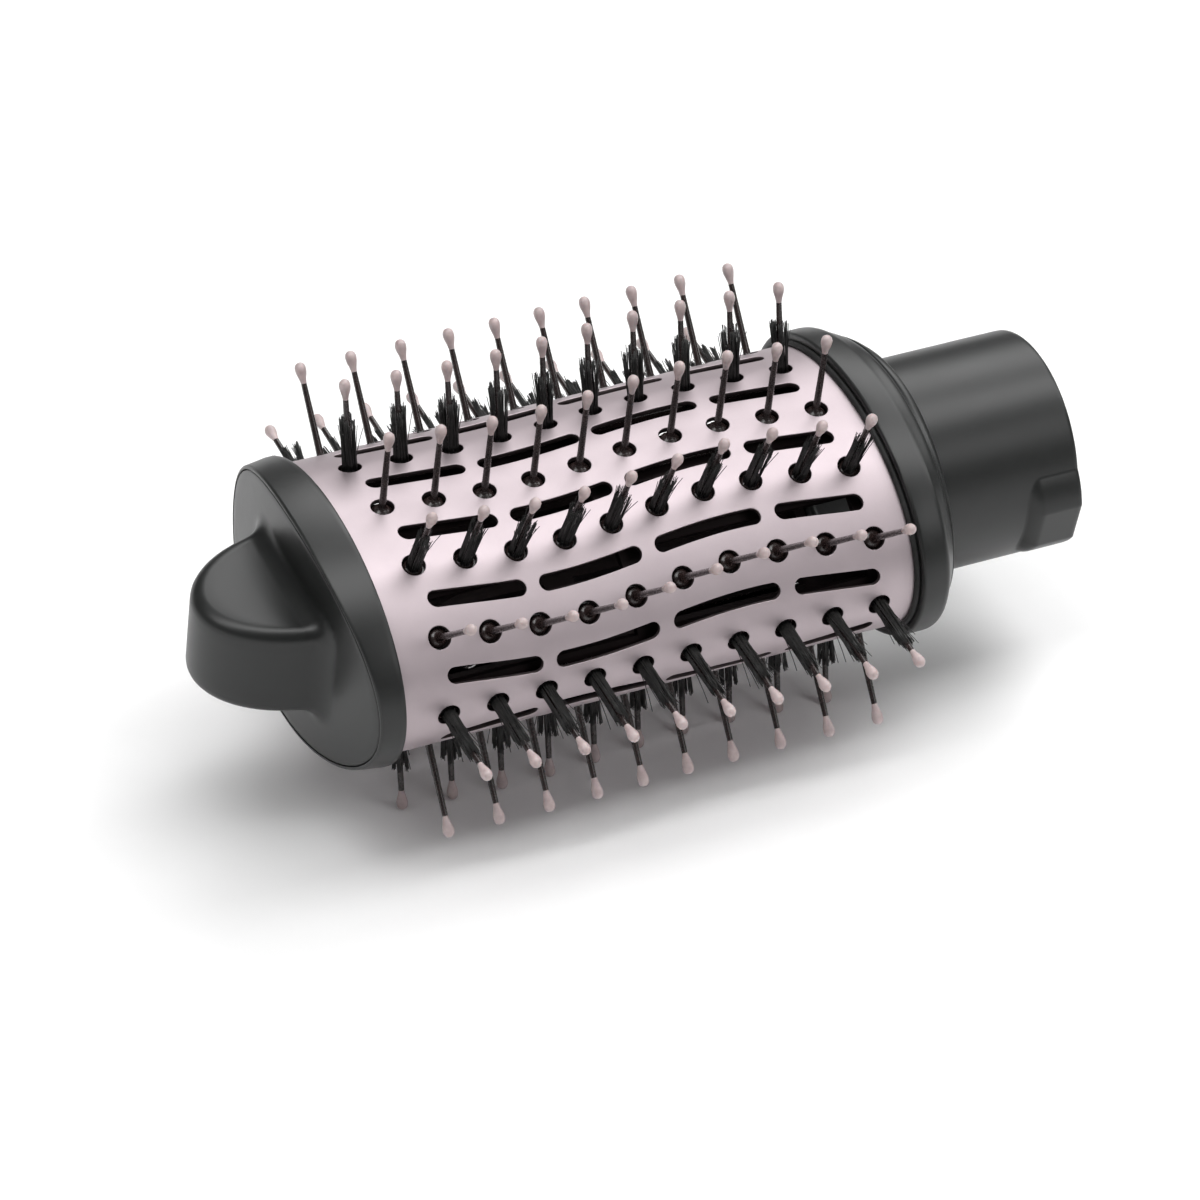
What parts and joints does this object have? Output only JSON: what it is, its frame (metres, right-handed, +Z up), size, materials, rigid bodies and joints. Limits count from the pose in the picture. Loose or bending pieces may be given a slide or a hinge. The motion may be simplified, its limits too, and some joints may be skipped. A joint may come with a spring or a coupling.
{
  "type": "hot air brush head",
  "caption": "Oval hot air brush head with a perforated metal barrel, rows of ball-tipped pins and bristle tufts, a finger knob and a round socket neck.",
  "frame": {"origin": "centre of the footprint, on the surface that the lowest pin tips rest on", "axes": "+X along the barrel from the finger knob to the socket neck, +Y across the barrel, +Z up; the head lies on two rows of pins, turned 8.6 degrees about +X"},
  "size_m": [0.1416, 0.0816, 0.0646],
  "materials": {
    "barrel_metal": "pale rose satin coating",
    "strip_plastic": "black nylon, pale ball tips",
    "bristle_plastic": "black nylon with bristle tufts",
    "inner_plastic": "heat-resistant, plain",
    "shell_plastic": "dark grey, fine matte",
    "seal_rubber": "matte",
    "screw_steel": "plated"
  },
  "bodies": {
    "root": {"barrel_sleeve": "barrel_metal", "pin_strip_1": "strip_plastic", "pin_strip_2": "strip_plastic", "pin_strip_3": "strip_plastic", "pin_strip_4": "strip_plastic", "pin_strip_5": "strip_plastic", "pin_strip_6": "strip_plastic", "bristle_strip_1": "bristle_plastic", "bristle_strip_2": "bristle_plastic", "bristle_strip_3": "bristle_plastic", "bristle_strip_4": "bristle_plastic", "bristle_strip_5": "bristle_plastic", "bristle_strip_6": "bristle_plastic", "core_upper": "inner_plastic", "core_lower": "inner_plastic", "front_bulkhead": "inner_plastic", "rear_bulkhead": "inner_plastic", "air_deflector": "inner_plastic", "tip_screw_left": "screw_steel", "tip_screw_right": "screw_steel", "neck_screw_left": "screw_steel", "neck_screw_right": "screw_steel", "front_rim": "shell_plastic", "cool_tip": "shell_plastic", "rear_seal_ring": "seal_rubber", "rear_collar": "shell_plastic", "neck_tube": "shell_plastic"}
  },
  "joints": []
}
